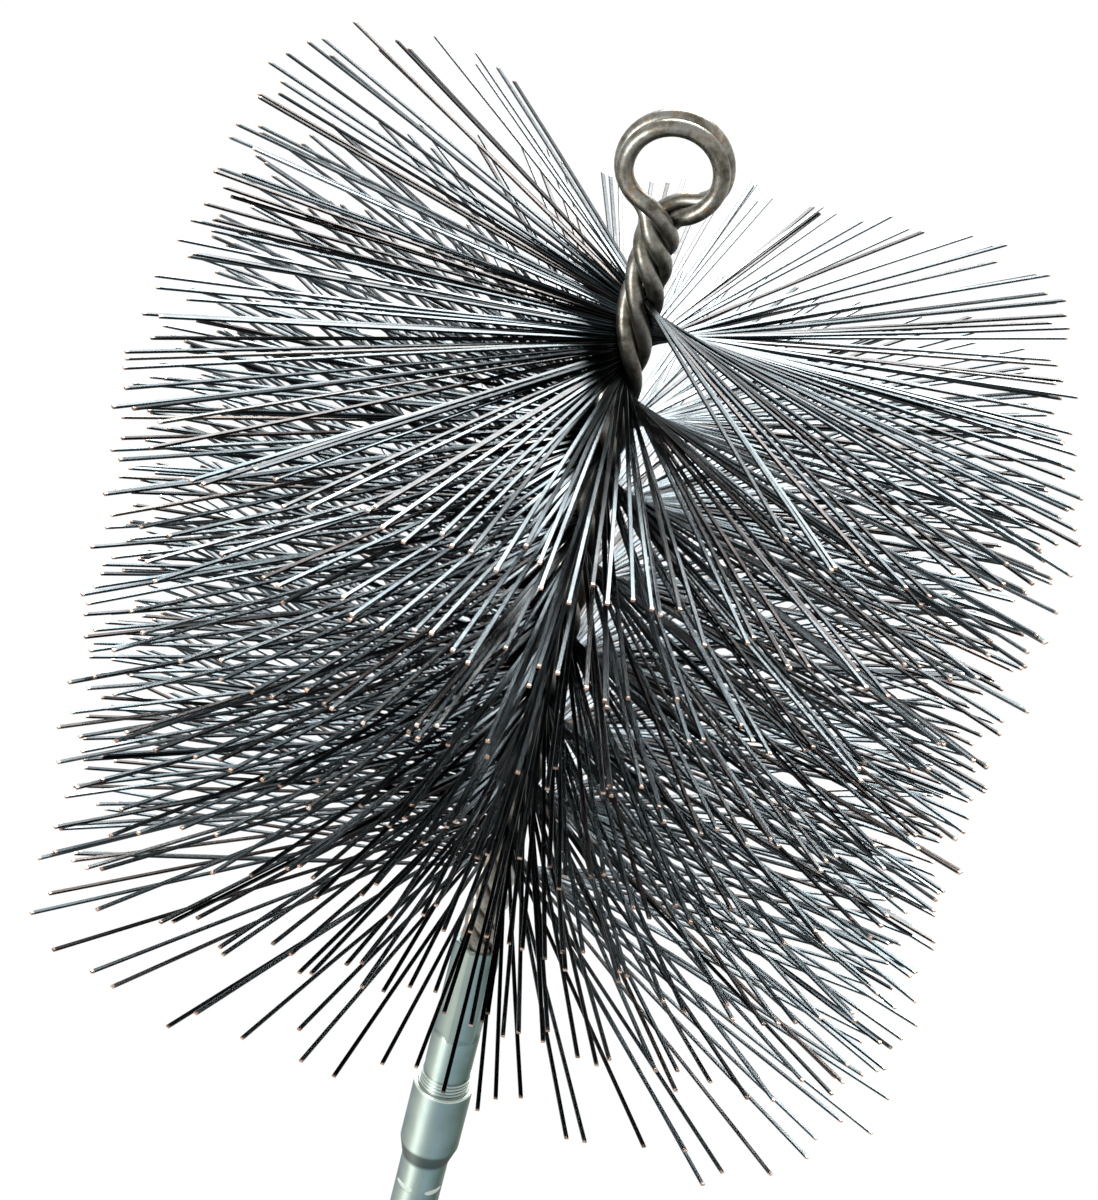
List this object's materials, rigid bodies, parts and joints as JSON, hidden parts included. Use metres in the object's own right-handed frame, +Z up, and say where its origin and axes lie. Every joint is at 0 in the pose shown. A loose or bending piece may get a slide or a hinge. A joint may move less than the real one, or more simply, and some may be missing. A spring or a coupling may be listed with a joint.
{
  "type": "chimney sweep brush",
  "caption": "Square steel-wire chimney brush on a twisted wire stem with a double wire eye at the top, screwed by a threaded fitting into the end ferrule of a sweep's rod.",
  "frame": {"origin": "centre of the mouth of the ferrule's rod socket, at the part's lower end", "axes": "+Z up the stem towards the eye; -Y faces a person who looks straight through the eye; X runs across the eye and along one side of the square"},
  "size_m": [0.2544, 0.2544, 0.4424],
  "materials": {
    "bristle_steel": "blue-black tempered spring wire, lightly oiled",
    "stem_steel": "drawn steel wire, dark and lightly oiled",
    "zinc_plate": "turned steel, zinc plated"
  },
  "bodies": {
    "rod_end": {"rod_ferrule": "zinc_plate"},
    "brush_head": {"threaded_fitting": "zinc_plate", "stem_wire_front": "stem_steel", "stem_wire_back": "stem_steel", "bristle_bunch_01": "bristle_steel", "bristle_bunch_02": "bristle_steel", "bristle_bunch_03": "bristle_steel", "bristle_bunch_04": "bristle_steel", "bristle_bunch_05": "bristle_steel", "bristle_bunch_06": "bristle_steel", "bristle_bunch_07": "bristle_steel", "bristle_bunch_08": "bristle_steel", "bristle_bunch_09": "bristle_steel", "bristle_bunch_10": "bristle_steel", "bristle_bunch_11": "bristle_steel", "bristle_bunch_12": "bristle_steel", "bristle_bunch_13": "bristle_steel", "bristle_bunch_14": "bristle_steel", "bristle_bunch_15": "bristle_steel"}
  },
  "joints": [
    {"name": "brush_unscrew", "type": "hinge", "parent": "rod_end", "child": "brush_head", "pos_m": [0, 0, 0.0876], "axis": [0, 0, 1], "range_deg": [0, 2160]}
  ]
}
